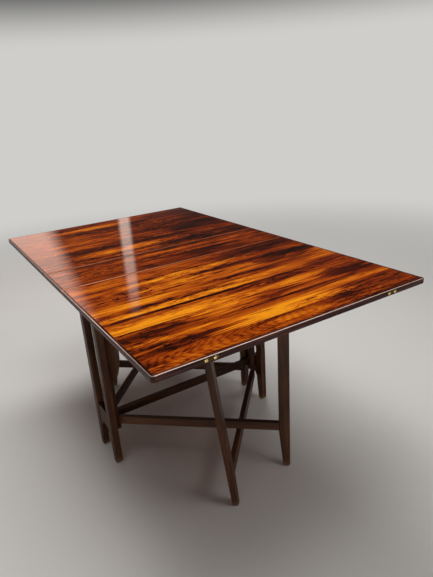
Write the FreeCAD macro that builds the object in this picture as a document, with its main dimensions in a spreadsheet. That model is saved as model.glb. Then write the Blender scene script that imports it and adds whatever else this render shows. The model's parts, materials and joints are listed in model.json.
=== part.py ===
import FreeCAD, Part
import Sketcher
import os
import re

# A folding table, open: a narrow fixed centre on two end frames, a wide leaf hinged along each side
# of it, and four gates that swing out from the end frames, crossing in pairs, to hold the leaves up.
# +X runs along the hinges, +Y towards the far leaf, +Z up, with the origin on the floor at the middle.
doc = FreeCAD.newDocument("butterfly_table")

sizes = {
    # top
    "table_height": 725,
    "table_length": 880,
    "centre_width": 200,
    "leaf_width": 643,
    "top_thickness": 16,
    "joint_gap": 1.5,
    "lipping_width": 8,
    "arris_round": 3,
    "joint_arris_round": 0.8,
    "corner_land": 1,
    "edge_plate_x": 297,
    "edge_plate_length": 40,
    "edge_plate_height": 10,
    "edge_plate_thickness": 1.2,
    "edge_plate_flat": 1,
    # hinges
    "hinge_inner_x": 150,
    "hinge_length": 50,
    "hinge_plate_width": 24,
    "hinge_plate_thickness": 2,
    "barrel_diameter": 7,
    "middle_knuckle": 16,
    "knuckle_gap": 0.5,
    "hinge_pin_diameter": 3,
    "running_clearance": 0.05,
    # end frames
    "end_overhang": 99,
    "post_thickness": 26,
    "post_width": 35,
    "post_foot_width": 25,
    "foot_round": 9,
    "edge_round": 4,
    "rail_thickness": 20,
    "rail_height": 101,
    "rail_bottom": 99,
    "arch_rise": 33,
    "tenon_thickness": 10,
    "tenon_length": 16,
    "tenon_shoulder": 8,
    "bearer_height": 25,
    "bearer_overhang": 6,
    "bearer_chamfer": 9,
    "stretcher_thickness": 20,
    "stretcher_height": 30,
    "stretcher_level": 162,
    # gates
    "post_clearance": 1,
    "block_margin": 13.5,
    "stretcher_clearance": 8.5,
    "lower_block_height": 18,
    "block_gap": 4,
    "pivot_post_diameter": 26,
    "pivot_pin_diameter": 12,
    "pivot_pin_length": 14,
    "journal_diameter": 18,
    "end_play": 0.3,
    "cheek_thickness": 20,
    "cheek_bottom": 330,
    "cheek_height": 230,
    "cheek_bottom_reach": 27,
    "cheek_radius": 260,
    "fold_clearance": 0.5,
    "gate_bar_thickness": 20,
    "gate_bar_height": 32,
    "bar_shoulder_gap": 0.5,
    "round_tenon_diameter": 12,
    "round_tenon_end": 5,
    "leg_width": 39,
    "leg_thickness": 21,
    "leg_foot_width": 24,
    "leg_tenon_length": 26,
    "leg_top_clearance": 1,
    "lower_bar_level": 120,
    "bar_gap": 6,
    "narrow_swing_angle": 41.2,
    "narrow_lean_angle": 5,
    "wide_swing_angle": 47,
    "wide_lean_angle": 6.3,
    "rest_length": 60,
    "rest_width": 24,
    "rest_gap": 0.8,
}
sheet = doc.addObject("Spreadsheet::Sheet", "Sizes")
for row, (alias, amount) in enumerate(sizes.items(), start=1):
    sheet.set(f"A{row}", alias)
    sheet.set(f"B{row}", str(amount))
    sheet.setAlias(f"B{row}", alias)
doc.recompute()

pieces = []


# Helpers

def sized(text):
    """The expression with each size's name pointed at its cell."""
    return re.sub(r"[a-z_]+", lambda word: "Sizes." + word[0] if word[0] in sizes else word[0], text)


def number(text):
    """The expression's value now."""
    return float(sheet.evalExpression(sized(text)))


def keep(label, made):
    """Names a finished piece."""
    made.Label = label
    pieces.append(made)
    return made


def block(name, size, corner):
    """A rectangular piece, from its three sizes and its lowest corner."""
    box = doc.addObject("Part::Box", name)
    for side, text in zip(("Length", "Width", "Height"), size):
        box.setExpression(side, sized(text))
    for axis, text in zip("xyz", corner):
        box.setExpression("Placement.Base." + axis, sized(text))
    return box


def rod(name, diameter, length, start, turn="rotation(vector(0; 0; 1); 0)"):
    """A round piece that runs up from its start, or along +X when it is turned."""
    cylinder = doc.addObject("Part::Cylinder", name)
    cylinder.setExpression("Radius", sized(f"({diameter}) / 2"))
    cylinder.setExpression("Height", sized(length))
    place(cylinder, start, turn)
    return cylinder


ALONG_X = "rotation(vector(0; 1; 0); 90)"


def place(made, start, turn="rotation(vector(0; 0; 1); 0)"):
    """Sets where a piece stands and how it is turned."""
    x, y, z = start
    made.setExpression("Placement", sized(f"placement(vector({x}; {y}; {z}); {turn})"))
    return made


def cut(name, base, *tools):
    """A piece with each tool taken out of it."""
    for step, tool in enumerate(tools):
        made = doc.addObject("Part::Cut", f"{name}_{step}")
        made.Base = base
        made.Tool = tool
        base = made
    return base


def joined(name, *solids):
    """Several shapes made one solid."""
    made = doc.addObject("Part::MultiFuse", name)
    made.Shapes = list(solids)
    made.Refine = True
    return made


def group(name, solids):
    """Like pieces that share one node and stay separate solids."""
    made = doc.addObject("Part::Compound", name)
    made.Links = list(solids)
    return made


def eased(kind, name, base, pick):
    """A Part::Fillet or Part::Chamfer; pick gives an edge's size, or None to leave the edge sharp."""
    doc.recompute()
    made = doc.addObject(kind, name)
    made.Base = base
    chosen = []
    for index, edge in enumerate(base.Shape.Edges, start=1):
        radius = pick(edge)
        if radius:
            chosen.append((index, radius, radius))
    made.Edges = chosen
    return made


def matches(value, *places):
    """Whether a value is at one of the places, to a millionth of a millimetre."""
    return any(abs(value - place) < 1e-6 for place in places)


def runs_along(edge, axis):
    """Whether a straight edge runs along the axis."""
    ends = [vertex.Point for vertex in edge.Vertexes]
    span = ends[1] - ends[0]
    return matches(abs(getattr(span, axis)), span.Length)


def long_edges(radius, axis):
    """Picks the edges that run along one axis."""
    return lambda edge: number(radius) if runs_along(edge, axis) else None


def outline(body, name, role, corners, arcs=None):
    """A closed sketch, anticlockwise, with each corner held to the sheet and any arc sides by radius."""
    sketch = body.newObject("Sketcher::SketchObject", name)
    plane = [feature for feature in body.Origin.OriginFeatures if feature.Role == role][0]
    sketch.AttachmentSupport = [(plane, "")]
    sketch.MapMode = "FlatFace"
    arcs = arcs or {}
    points = [FreeCAD.Vector(number(x), number(y), 0) for x, y in corners]
    for side, start in enumerate(points):
        end = points[(side + 1) % len(points)]
        if side in arcs:
            chord = end - start
            radius = number(arcs[side])
            rise = radius - (radius ** 2 - chord.Length ** 2 / 4) ** 0.5
            outward = FreeCAD.Vector(chord.y, -chord.x, 0).normalize()
            crown = (start + end) / 2 + outward * rise
            sketch.addGeometry(Part.Arc(start, crown, end))
        else:
            sketch.addGeometry(Part.LineSegment(start, end))
    for side in range(len(points)):
        sketch.addConstraint(Sketcher.Constraint("Coincident", side, 2, (side + 1) % len(points), 1))
    for side, (x, y) in enumerate(corners):
        for kind, text in (("DistanceX", x), ("DistanceY", y)):
            held = sketch.addConstraint(Sketcher.Constraint(kind, -1, 1, side, 1, number(text)))
            sketch.setExpression(f"Constraints[{held}]", sized(text))
    for side, text in arcs.items():
        held = sketch.addConstraint(Sketcher.Constraint("Radius", side, number(text)))
        sketch.setExpression(f"Constraints[{held}]", sized(text))
    return sketch


def pad(body, sketch, thickness):
    """The sketch made solid, half its thickness to each side of the plane."""
    made = body.newObject("PartDesign::Pad", sketch.Name + "_pad")
    made.Profile = sketch
    made.SideType = "Symmetric"
    made.setExpression("Length", sized(thickness))
    doc.recompute()
    return made


def soften(body, name, radius, pick):
    """A fillet on the edges of the body that pick chooses."""
    base = body.Tip
    made = body.newObject("PartDesign::Fillet", name)
    made.Base = (base, [f"Edge{i}" for i, edge in enumerate(base.Shape.Edges, start=1) if pick(edge)])
    made.setExpression("Radius", sized(radius))
    doc.recompute()
    return made


UNDERSIDE = "(table_height - top_thickness)"
LEAF_START = "(centre_width / 2 + joint_gap)"
HINGE_Y = "(centre_width / 2 + joint_gap / 2)"
POST_X = "(table_length / 2 - end_overhang)"
# The pivot blocks fill the space from the posts' inner sides to a clearance beside the centre stretcher
INNER_Y = "(stretcher_thickness / 2 + stretcher_clearance + 2 * block_margin)"
POST_Y = f"({INNER_Y} + post_width / 2)"
RAIL_FACE = f"({POST_X} - rail_thickness / 2)"
BEARER_BOTTOM = f"({UNDERSIDE} - bearer_height)"
PIVOT_X = f"({RAIL_FACE} - post_clearance - pivot_post_diameter / 2)"
PIVOT_Y = f"({INNER_Y} - block_margin)"
# A folded leg stands beside the far end frame's posts
GATE_REACH = f"({PIVOT_X} + {POST_X} - post_thickness / 2 - leg_width / 2 - fold_clearance)"
SIDES = (("near", -1), ("far", 1))
ENDS = (("left", -1), ("right", 1))
# The left gates' bars turn above their lower blocks, the right gates' bars hang below theirs
BAR_LEVEL = {"left": "(lower_bar_level + gate_bar_height + bar_gap)", "right": "lower_bar_level"}
BLOCK_BOTTOM = {"left": f"({BAR_LEVEL['left']} - gate_bar_height / 2 - block_gap - lower_block_height)",
                "right": f"({BAR_LEVEL['right']} + gate_bar_height / 2 + block_gap)"}
BLOCK_PIN = {"left": "pivot_pin_diameter", "right": "journal_diameter"}


# Top: veneered panels inside solid lippings

def lipped_panel(label, low_y, width, outer_side):
    """A panel and the four lipping strips round it; outer_side is the free long side, or 0 for none."""
    inner = f"({width} - 2 * lipping_width)"
    panel = block(label + "_board", ("table_length - 2 * lipping_width", inner, "top_thickness"),
                  ("lipping_width - table_length / 2", f"{low_y} + lipping_width", UNDERSIDE))
    keep(label + "_panel", panel)

    top = number("table_height")
    end_x = number("table_length / 2")
    low = number(low_y)
    high = low + number(width)
    free_sides = {-1: [low], 0: [], 1: [high]}[outer_side]

    def round_over(edge):
        middle = edge.CenterOfMass
        on_end = matches(abs(middle.x), end_x)
        on_free_side = matches(middle.y, *free_sides)
        if runs_along(edge, "z"):
            return number("lipping_width - corner_land") if on_end and on_free_side else None
        if not matches(middle.z, top):
            return None
        if on_end or on_free_side:
            return number("arris_round")
        return number("joint_arris_round") if matches(middle.y, low, high) else None

    strips = []
    for name, y in (("low", low_y), ("high", f"{low_y} + {width} - lipping_width")):
        strip = block(f"{label}_{name}_strip", ("table_length", "lipping_width", "top_thickness"),
                      ("-table_length / 2", y, UNDERSIDE))
        strips.append(eased("Part::Fillet", f"{label}_{name}_lip", strip, round_over))
    for name, x in (("left", "-table_length / 2"), ("right", "table_length / 2 - lipping_width")):
        strip = block(f"{label}_{name}_strip", ("lipping_width", inner, "top_thickness"),
                      (x, f"{low_y} + lipping_width", UNDERSIDE))
        strips.append(eased("Part::Fillet", f"{label}_{name}_lip", strip, round_over))
    keep(label + "_lipping", group(label + "_strips", strips))


lipped_panel("centre", "-centre_width / 2", "centre_width", 0)
lipped_panel("near_leaf", f"-({LEAF_START} + leaf_width)", "leaf_width", -1)
lipped_panel("far_leaf", LEAF_START, "leaf_width", 1)

# Brass plates on the outer edge of each leaf, with half-round ends
OUTER_Y = f"({LEAF_START} + leaf_width)"
for side, y_sign in SIDES:
    plates = []
    edge_y = OUTER_Y if y_sign > 0 else f"-{OUTER_Y} - edge_plate_thickness"
    for end, x_sign in ENDS:
        slab = block(f"{side}_{end}_edge_slab",
                     ("edge_plate_length", "edge_plate_thickness", "edge_plate_height"),
                     (f"{x_sign} * edge_plate_x - edge_plate_length / 2", edge_y,
                      f"{UNDERSIDE} + (top_thickness - edge_plate_height) / 2"))
        round_ends = long_edges("(edge_plate_height - edge_plate_flat) / 2", "y")
        plates.append(eased("Part::Fillet", f"{side}_{end}_edge_plate", slab, round_ends))
    keep(side + "_edge_plates", group(side + "_edge_plate_pair", plates))


# Butt hinges under the two joint lines: the barrel hangs just under the wood

AXIS_Z = f"({UNDERSIDE} - barrel_diameter / 2)"
OUTER_KNUCKLE = "(hinge_length - middle_knuckle) / 2 - knuckle_gap"
# The outer hinges are halfway between the bearers and the ends of the top
HINGE_OUTER_X = f"(({POST_X} + rail_thickness / 2 + table_length / 2) / 2)"


def hinge_plate(name, knuckles, bore):
    """One flap, towards +Y, with its knuckles on the X axis: (start, length) for each."""
    reach = "barrel_diameter / 2 + knuckle_gap"
    top = "barrel_diameter / 2 - hinge_plate_thickness"
    flap_size = ("hinge_length", f"hinge_plate_width - ({reach})", "hinge_plate_thickness")
    solids = [block(name + "_flap", flap_size, ("-hinge_length / 2", reach, top))]
    for step, (start, length) in enumerate(knuckles):
        web_size = (length, reach, "hinge_plate_thickness")
        solids.append(block(f"{name}_web_{step}", web_size, (start, "0", top)))
        solids.append(rod(f"{name}_knuckle_{step}", "barrel_diameter", length, (start, "0", "0"), ALONG_X))
    hole = rod(name + "_bore", bore, "2 * hinge_length", ("-hinge_length", "0", "0"), ALONG_X)
    return cut(name, joined(name + "_solid", *solids), hole)


for side, y_sign in SIDES:
    frame_plates = []
    leaf_plates = []
    pins = []
    turned = {-1: "0", 1: "180"}[y_sign]
    across = {-1: "180", 1: "0"}[y_sign]
    bore = "hinge_pin_diameter + 2 * running_clearance"
    for count, x in enumerate((f"-{HINGE_OUTER_X}", "-hinge_inner_x", "hinge_inner_x", HINGE_OUTER_X)):
        where = (x, f"{y_sign} * {HINGE_Y}", AXIS_Z)
        plate = hinge_plate(f"{side}_frame_plate_{count}",
                            [("-hinge_length / 2", OUTER_KNUCKLE),
                             ("middle_knuckle / 2 + knuckle_gap", OUTER_KNUCKLE)], bore)
        frame_plates.append(place(plate, where, f"rotation(vector(0; 0; 1); {turned})"))
        plate = hinge_plate(f"{side}_leaf_plate_{count}", [("-middle_knuckle / 2", "middle_knuckle")], bore)
        leaf_plates.append(place(plate, where, f"rotation(vector(0; 0; 1); {across})"))
        start = (f"{x} - hinge_length / 2", where[1], AXIS_Z)
        pins.append(rod(f"{side}_pin_{count}", "hinge_pin_diameter", "hinge_length", start, ALONG_X))
    keep(side + "_hinge_frame_plates", group(side + "_frame_plate_set", frame_plates))
    keep(side + "_hinge_leaf_plates", group(side + "_leaf_plate_set", leaf_plates))
    keep(side + "_hinge_pins", group(side + "_pin_set", pins))


# End frames: two posts, an arched cross rail and a top bearer each

def tapered(name, inner, outer, top, shoulder, foot_width, thickness, bottom="0"):
    """A post or leg in the XZ plane: its outer edge straight, its inner edge drawn in below the shoulder."""
    body = doc.addObject("PartDesign::Body", name)
    sketch = outline(body, name + "_outline", "XZ_Plane",
                     [(f"{outer} - {foot_width}", bottom), (outer, bottom), (outer, top), (inner, top),
                      (inner, shoulder)])
    pad(body, sketch, thickness)
    floor = number(bottom)
    soften(body, name + "_foot", "foot_round",
           lambda edge: runs_along(edge, "y") and matches(edge.CenterOfMass.z, floor))
    half = number(thickness) / 2
    soften(body, name + "_edges", "edge_round",
           lambda edge: matches(abs(edge.CenterOfMass.y), half))
    return body


RAIL_TENON = ("tenon_thickness", "tenon_length", "rail_height - 2 * tenon_shoulder")
POST_TENON = ("tenon_thickness", "post_width - 2 * tenon_shoulder", "bearer_height - tenon_shoulder")
BEARER_REACH = f"({POST_Y} + post_width / 2 + bearer_overhang)"
BLOCK_X = f"({PIVOT_X} - block_margin)"
BLOCK_LENGTH = f"{RAIL_FACE} - {BLOCK_X}"

for end, x_sign in ENDS:
    tenon_x = f"{x_sign} * {POST_X} - tenon_thickness / 2"
    rail_tenons = []
    post_tenons = []
    for side, y_sign in SIDES:
        name = f"{end}_{side}_post"
        shaft = tapered(name + "_shaft", "-post_width / 2", "post_width / 2", BEARER_BOTTOM,
                        "rail_bottom", "post_foot_width", "post_thickness")
        place(shaft, (f"{x_sign} * {POST_X}", f"{y_sign} * {POST_Y}", "0"),
              f"rotation(vector(0; 0; 1); {y_sign * 90})")
        tenon_y = INNER_Y if y_sign > 0 else f"-{INNER_Y} - tenon_length"
        tenon_start = (tenon_x, tenon_y, "rail_bottom + tenon_shoulder")
        mortise = block(name + "_mortise", RAIL_TENON, tenon_start)
        rail_tenons.append(block(f"{end}_rail_{side}_tenon", RAIL_TENON, tenon_start))
        top_start = (tenon_x, f"{y_sign} * {POST_Y} - post_width / 2 + tenon_shoulder", BEARER_BOTTOM)
        top_tenon = block(name + "_tenon", POST_TENON, top_start)
        post_tenons.append(block(f"{end}_bearer_{side}_mortise", POST_TENON, top_start))
        keep(name, joined(name + "_whole", cut(name + "_cut", shaft, mortise), top_tenon))

    # The rail's lower edge is an arc between the posts
    rail = block(end + "_rail_board", ("rail_thickness", f"2 * {INNER_Y}", "rail_height"),
                 (f"{x_sign} * {POST_X} - rail_thickness / 2", f"-{INNER_Y}", "rail_bottom"))
    arch_radius = f"({INNER_Y} ^ 2 + arch_rise ^ 2) / (2 * arch_rise)"
    arch_start = (f"{x_sign} * {POST_X} - rail_thickness", "0", f"rail_bottom + arch_rise - {arch_radius}")
    arch = rod(end + "_arch", f"2 * {arch_radius}", "2 * rail_thickness", arch_start, ALONG_X)
    socket = block(end + "_rail_socket",
                   ("tenon_length", "tenon_thickness", "stretcher_height - 2 * edge_round"),
                   (f"{x_sign} * ({RAIL_FACE} + tenon_length / 2) - tenon_length / 2", "-tenon_thickness / 2",
                    "stretcher_level - stretcher_height / 2 + edge_round"))
    board = cut(end + "_rail_cut", rail, arch, socket)
    keep(end + "_cross_rail", joined(end + "_rail_whole", board, *rail_tenons))

    bearer = block(end + "_bearer_board", ("rail_thickness", f"2 * {BEARER_REACH}", "bearer_height"),
                   (f"{x_sign} * {POST_X} - rail_thickness / 2", f"-{BEARER_REACH}", BEARER_BOTTOM))
    low_z = number(BEARER_BOTTOM)
    bearer = eased("Part::Chamfer", end + "_bearer_eased", bearer,
                   lambda edge: number("bearer_chamfer") if runs_along(edge, "x")
                   and matches(edge.CenterOfMass.z, low_z) else None)
    keep(end + "_top_bearer", cut(end + "_bearer_cut", bearer, *post_tenons))

    # Blocks with the pivot bores: one under the bearer, and a pair on the inner face of the cross rail
    low_x = BLOCK_X if x_sign > 0 else f"-{RAIL_FACE}"
    upper = block(end + "_upper_block", (BLOCK_LENGTH, f"2 * {INNER_Y}", "bearer_height"),
                  (low_x, f"-{INNER_Y}", BEARER_BOTTOM))
    pin_bores = []
    for side, y_sign in SIDES:
        pivot = (f"{x_sign} * {PIVOT_X}", f"{y_sign} * {PIVOT_Y}")
        pin_bores.append(rod(f"{end}_{side}_upper_bore", "pivot_pin_diameter + 2 * running_clearance",
                             "2 * bearer_height", (*pivot, f"{BEARER_BOTTOM} - bearer_height / 2")))
        name = f"{end}_{side}_lower_block"
        board = block(name, (BLOCK_LENGTH, "2 * block_margin", "lower_block_height"),
                      (low_x, f"{pivot[1]} - block_margin", BLOCK_BOTTOM[end]))
        bore = rod(name + "_bore", f"{BLOCK_PIN[end]} + 2 * running_clearance", "2 * lower_block_height",
                   (*pivot, f"{BLOCK_BOTTOM[end]} - lower_block_height / 2"))
        keep(f"{end}_{side}_pivot_block", cut(name + "_bored", board, bore))
    keep(end + "_upper_pivot_block", cut(end + "_upper_bored", upper, *pin_bores))

# Centre stretcher between the cross rails, and a rail under the centre panel between the upper blocks
STRETCHER_Z = "stretcher_level - stretcher_height / 2"
bar = block("stretcher_bar", (f"2 * {RAIL_FACE}", "stretcher_thickness", "stretcher_height"),
            (f"-{RAIL_FACE}", "-stretcher_thickness / 2", STRETCHER_Z))
bar = eased("Part::Fillet", "stretcher_eased", bar, long_edges("edge_round", "x"))
tongue = block("stretcher_tongue",
               (f"2 * ({RAIL_FACE} + tenon_length)", "tenon_thickness", "stretcher_height - 2 * edge_round"),
               (f"-{RAIL_FACE} - tenon_length", "-tenon_thickness / 2", f"{STRETCHER_Z} + edge_round"))
keep("centre_stretcher", joined("stretcher_whole", bar, tongue))
keep("top_rail", block("top_rail_bar", (f"2 * {BLOCK_X}", "stretcher_thickness", "bearer_height"),
                       (f"-{BLOCK_X}", "-stretcher_thickness / 2", BEARER_BOTTOM)))


# Gates, each made along +X from its pivot, then turned out to where it stands open and leaned

GATES = (
    ("near_left", "-narrow_swing_angle", "narrow_lean_angle", -1),
    ("near_right", "180 + wide_swing_angle", "wide_lean_angle", 1),
    ("far_left", "wide_swing_angle", "wide_lean_angle", 1),
    ("far_right", "180 - narrow_swing_angle", "narrow_lean_angle", -1),
)
POST_TOP = f"({BEARER_BOTTOM} - end_play)"
TOP_PIN_END = f"{POST_TOP} + pivot_pin_length"
PIN = "pivot_pin_diameter / 2"
SHAFT = "pivot_post_diameter / 2"
JOURNAL = "journal_diameter / 2"
BAR_TENON = ("leg_tenon_length", "tenon_thickness", "gate_bar_height - 2 * tenon_shoulder")
LEG_INNER = f"({GATE_REACH} - leg_width / 2)"
rests = {"near": [], "far": []}


def post_profile(end):
    """Half the outline of a turned pivot post: it stands on its block by a pin, or goes through it."""
    shoulder = f"({BLOCK_BOTTOM[end]} + lower_block_height + end_play)"
    if end == "left":
        stub = PIN
        stub_end = f"{shoulder} - pivot_pin_length"
    else:
        stub = JOURNAL
        stub_end = f"{BAR_LEVEL[end]} - gate_bar_height / 2"
    return [("0", stub_end), (stub, stub_end), (stub, shoulder), (SHAFT, shoulder), (SHAFT, POST_TOP),
            (PIN, POST_TOP), (PIN, TOP_PIN_END), ("0", TOP_PIN_END)]


for gate, swing, lean, roll_sign in GATES:
    side, end = gate.split("_")
    bar_level = BAR_LEVEL[end]
    bar_seat = SHAFT if end == "left" else JOURNAL
    pivot = (f"{dict(ENDS)[end]} * {PIVOT_X}", f"{dict(SIDES)[side]} * {PIVOT_Y}")
    turn = f"rotation(vector(0; 0; 1); {swing})"

    # Turned post with a pin at the top, a cheek with a curved edge, and a bore for the bar's round tenon
    post = doc.addObject("PartDesign::Body", gate + "_post")
    profile = outline(post, gate + "_profile", "XZ_Plane", post_profile(end))
    turned = post.newObject("PartDesign::Revolution", gate + "_turned")
    turned.Profile = profile
    turned.ReferenceAxis = (profile, ["V_Axis"])
    turned.Angle = 360
    doc.recompute()
    cheek = outline(post, gate + "_cheek", "XZ_Plane",
                    [("0", "cheek_bottom"), ("cheek_bottom_reach", "cheek_bottom"),
                     (SHAFT, "cheek_bottom + cheek_height"), ("0", "cheek_bottom + cheek_height")],
                    {1: "cheek_radius"})
    pad(post, cheek, "cheek_thickness")
    bore_start = ("-round_tenon_end - end_play", "0", bar_level)
    bore = rod(gate + "_tenon_bore", "round_tenon_diameter + 2 * running_clearance",
               "pivot_post_diameter + round_tenon_end", bore_start, ALONG_X)
    keep(gate + "_pivot_post", place(cut(gate + "_post_cut", post, bore), (*pivot, "0"), turn))

    # Bar and leg, made about the bar's own axis, on which they lean together
    stands = (*pivot, bar_level)
    leaning = f"{turn} * rotation(vector(1; 0; 0); {roll_sign} * {lean})"
    bar_start = f"({bar_seat} + bar_shoulder_gap)"
    bar = block(gate + "_bar_board", (f"{LEG_INNER} - {bar_start}", "gate_bar_thickness", "gate_bar_height"),
                (bar_start, "-gate_bar_thickness / 2", "-gate_bar_height / 2"))
    bar = eased("Part::Fillet", gate + "_bar_eased", bar, long_edges("edge_round", "x"))
    round_tenon = rod(gate + "_round_tenon", "round_tenon_diameter", f"{bar_start} + round_tenon_end",
                      ("-round_tenon_end", "0", "0"), ALONG_X)
    tenon_start = (LEG_INNER, "-tenon_thickness / 2", "tenon_shoulder - gate_bar_height / 2")
    flat_tenon = block(gate + "_flat_tenon", BAR_TENON, tenon_start)
    keep(gate + "_stretcher", place(joined(gate + "_bar", bar, round_tenon, flat_tenon), stands, leaning))

    leg_top = f"({UNDERSIDE} - leg_top_clearance - {bar_level})"
    leg = tapered(gate + "_leg_shaft", LEG_INNER, f"{GATE_REACH} + leg_width / 2", leg_top,
                  "-gate_bar_height / 2", "leg_foot_width", "leg_thickness", f"-{bar_level}")
    mortise = block(gate + "_mortise", BAR_TENON, tenon_start)
    keep(gate + "_leg", place(cut(gate + "_leg_cut", leg, mortise), stands, leaning))

    # A rest under the leaf, above the leaning leg's top
    leg_peak = (f"({bar_level} + ({leg_top} - edge_round) * cos({lean})"
                f" + (leg_thickness / 2 - edge_round) * sin({lean}) + edge_round)")
    rest = doc.addObject("Part::Box", gate + "_rest")
    rest_height = f"({UNDERSIDE} - {leg_peak} - rest_gap)"
    for prop, text in (("Length", "rest_length"), ("Width", "rest_width"), ("Height", rest_height)):
        rest.setExpression(prop, sized(text))
    top_y = f"({-roll_sign} * {leg_top} * sin({lean}))"
    rest_x = f"({GATE_REACH} - rest_length / 2)"
    rest_y = f"({top_y} - rest_width / 2)"
    rest_start = (f"{pivot[0]} + {rest_x} * cos({swing}) - {rest_y} * sin({swing})",
                  f"{pivot[1]} + {rest_x} * sin({swing}) + {rest_y} * cos({swing})",
                  f"{UNDERSIDE} - {rest_height}")
    rests[side].append(place(rest, rest_start, turn))

for side, blocks in rests.items():
    keep(side + "_leaf_rests", group(side + "_rest_pair", blocks))


# Check every object, then write each piece to its own file

doc.recompute()
for made in doc.Objects:
    if "Invalid" in made.State or "Error" in made.State:
        raise RuntimeError(f"{made.Name} did not compute: {made.State}")
for made in pieces:
    if made.Shape.isNull() or not made.Shape.isValid():
        raise RuntimeError(f"{made.Label} has no valid shape")
os.makedirs("parts", exist_ok=True)
for made in pieces:
    made.Shape.exportStep(f"parts/{made.Label}.step")
    print(made.Label, len(made.Shape.Solids), round(made.Shape.Volume))
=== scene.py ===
import json
from math import cos, pi, radians, sin

import bpy
from mathutils import Matrix, Quaternion, Vector


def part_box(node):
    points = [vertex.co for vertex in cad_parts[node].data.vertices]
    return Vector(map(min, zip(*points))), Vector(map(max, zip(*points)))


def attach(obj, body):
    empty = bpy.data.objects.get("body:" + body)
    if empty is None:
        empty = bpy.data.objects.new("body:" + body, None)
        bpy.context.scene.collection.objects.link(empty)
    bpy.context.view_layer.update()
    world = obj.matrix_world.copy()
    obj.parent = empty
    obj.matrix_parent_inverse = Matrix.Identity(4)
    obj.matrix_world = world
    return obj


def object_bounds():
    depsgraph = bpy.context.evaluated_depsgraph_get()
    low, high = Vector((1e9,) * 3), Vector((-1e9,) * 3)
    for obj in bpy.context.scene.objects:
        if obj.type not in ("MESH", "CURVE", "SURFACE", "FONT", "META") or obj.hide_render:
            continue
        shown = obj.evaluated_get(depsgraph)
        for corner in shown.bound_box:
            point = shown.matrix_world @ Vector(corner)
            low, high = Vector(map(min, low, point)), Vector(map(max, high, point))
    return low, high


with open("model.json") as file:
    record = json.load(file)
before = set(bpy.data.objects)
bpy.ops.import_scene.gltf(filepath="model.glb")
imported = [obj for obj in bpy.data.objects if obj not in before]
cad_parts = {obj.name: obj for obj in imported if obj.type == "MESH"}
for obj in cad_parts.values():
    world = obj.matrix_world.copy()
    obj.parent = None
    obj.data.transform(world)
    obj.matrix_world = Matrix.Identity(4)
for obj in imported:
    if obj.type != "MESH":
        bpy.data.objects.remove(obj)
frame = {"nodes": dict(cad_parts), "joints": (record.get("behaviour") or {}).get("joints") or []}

cad_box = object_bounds()

# End frames and long rails: posts, arched cross rails, top bearers, pivot blocks, stretcher and top rail.
# Beech stained a dark walnut brown under a satin lacquer, which shows the grain as soft long streaks.
# Sawn and planed with the grain along each piece, and joined with mortise and tenon.

MM = 0.001
STAIN_DARK = "#1F1008"
STAIN_MID = "#3D2212"
STAIN_PALE = "#613C21"
STAIN_WORN = "#86603A"
# Patterns of the grain as length along it and width across it in millimetres, and fineness: broad tone,
# streaks, and vessels, which are drawn coarser than real ones so that they show
BEECH_GRAIN = [(333.3, 40, 3), (111.1, 2.5, 2), (15.38, 0.7143, 1)]
# The feet are rubbed pale over the lowest 25 mm
FOOT_RUB_TOP = 25 * MM
FOOT_RUB_FULL = 2 * MM
FOOT_RUB = 0.8


def linear(hex_colour):
    """An sRGB hex colour as linear red, green, blue and alpha."""
    channels = [int(hex_colour[i:i + 2], 16) / 255 for i in (1, 3, 5)]
    return [c / 12.92 if c <= 0.04045 else ((c + 0.055) / 1.055) ** 2.4 for c in channels] + [1]


def add(tree, kind, inputs=None, stops=None, **settings):
    """Adds a node with its settings, its input values or links, and a ramp's stops."""
    made = tree.nodes.new(kind)
    for name, value in settings.items():
        setattr(made, name, value)
    for socket, value in (inputs or {}).items():
        if isinstance(value, bpy.types.NodeSocket):
            tree.links.new(value, made.inputs[socket])
        else:
            made.inputs[socket].default_value = value
    for index, (place, colour) in enumerate(stops or []):
        ramp = made.color_ramp.elements
        stop = ramp[index] if index < len(ramp) else ramp.new(place)
        stop.position = place
        stop.color = colour if isinstance(colour, list) else linear(colour)
    return made


def new_material(name):
    """An empty node material, with its tree, its output and its object coordinates."""
    material = bpy.data.materials.new(name)
    material.use_nodes = True
    tree = material.node_tree
    tree.nodes.clear()
    output = add(tree, "ShaderNodeOutputMaterial")
    place = add(tree, "ShaderNodeTexCoord").outputs["Object"]
    return material, tree, output, place


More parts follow.
